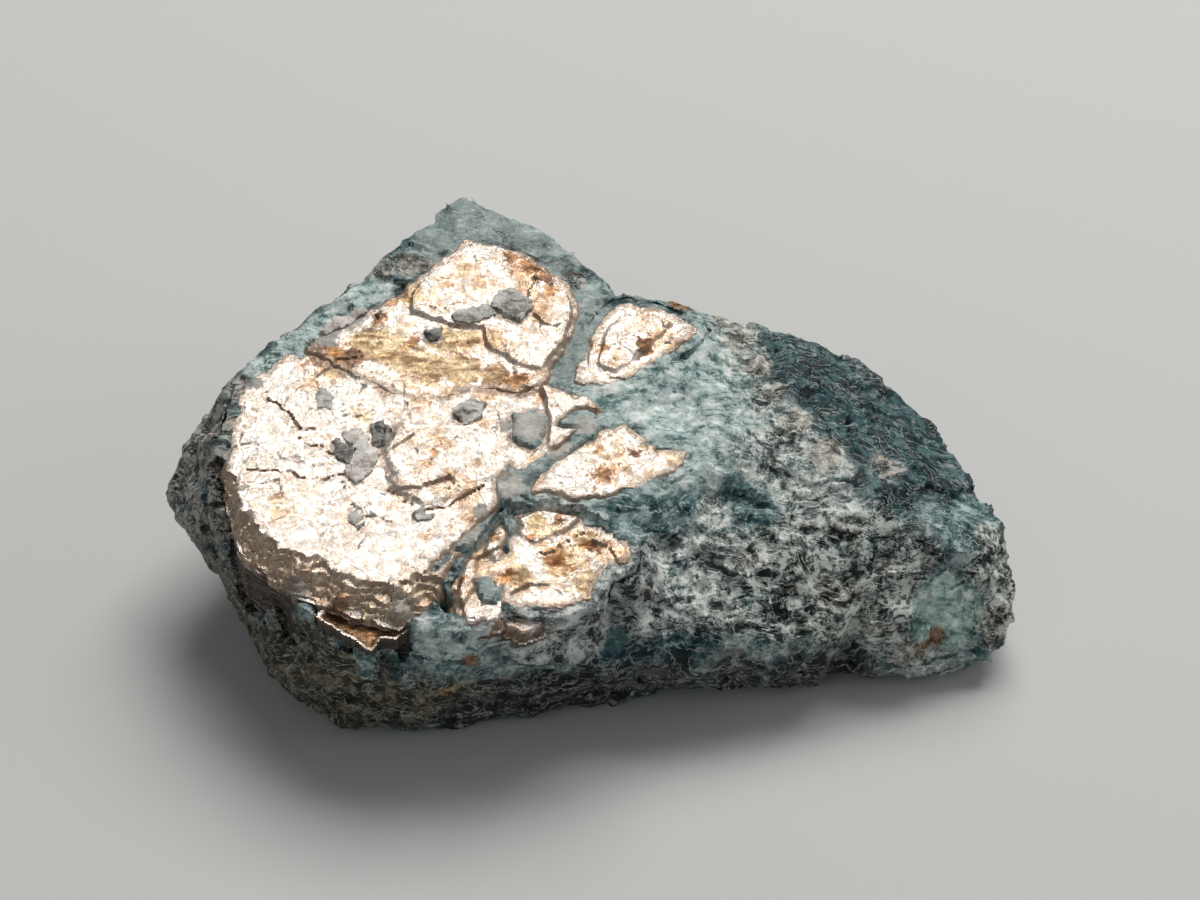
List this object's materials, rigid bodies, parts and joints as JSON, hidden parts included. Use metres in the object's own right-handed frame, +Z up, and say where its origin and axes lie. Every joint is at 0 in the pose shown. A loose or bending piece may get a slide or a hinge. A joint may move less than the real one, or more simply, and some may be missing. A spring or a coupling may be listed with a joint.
{
  "type": "rough grandidierite mineral specimen",
  "caption": "Rough blue-green grandidierite crystal mass with a thick bronze mica book and mica plates grown into its top, resting on a flat broken spot.",
  "frame": {"origin": "middle of the specimen's box, on the surface it rests on", "axes": "+X along the specimen from the mica end to the narrow green end, +Y away from the front with the mica ledge, +Z up"},
  "size_m": [0.0314, 0.0216, 0.0096],
  "materials": {
    "grandidierite": "broken, blue-green grains in a pale grey-white matrix with dark specks",
    "bronze_mica": "pearly to metallic pinkish bronze cleavage sheets with amber patches"
  },
  "bodies": {
    "root": {"grandidierite_mass": "grandidierite", "mica_book": "bronze_mica", "mica_peak_plate": "bronze_mica", "mica_back_flake": "bronze_mica", "mica_pointed_plate": "bronze_mica", "mica_front_plate": "bronze_mica"}
  },
  "joints": []
}
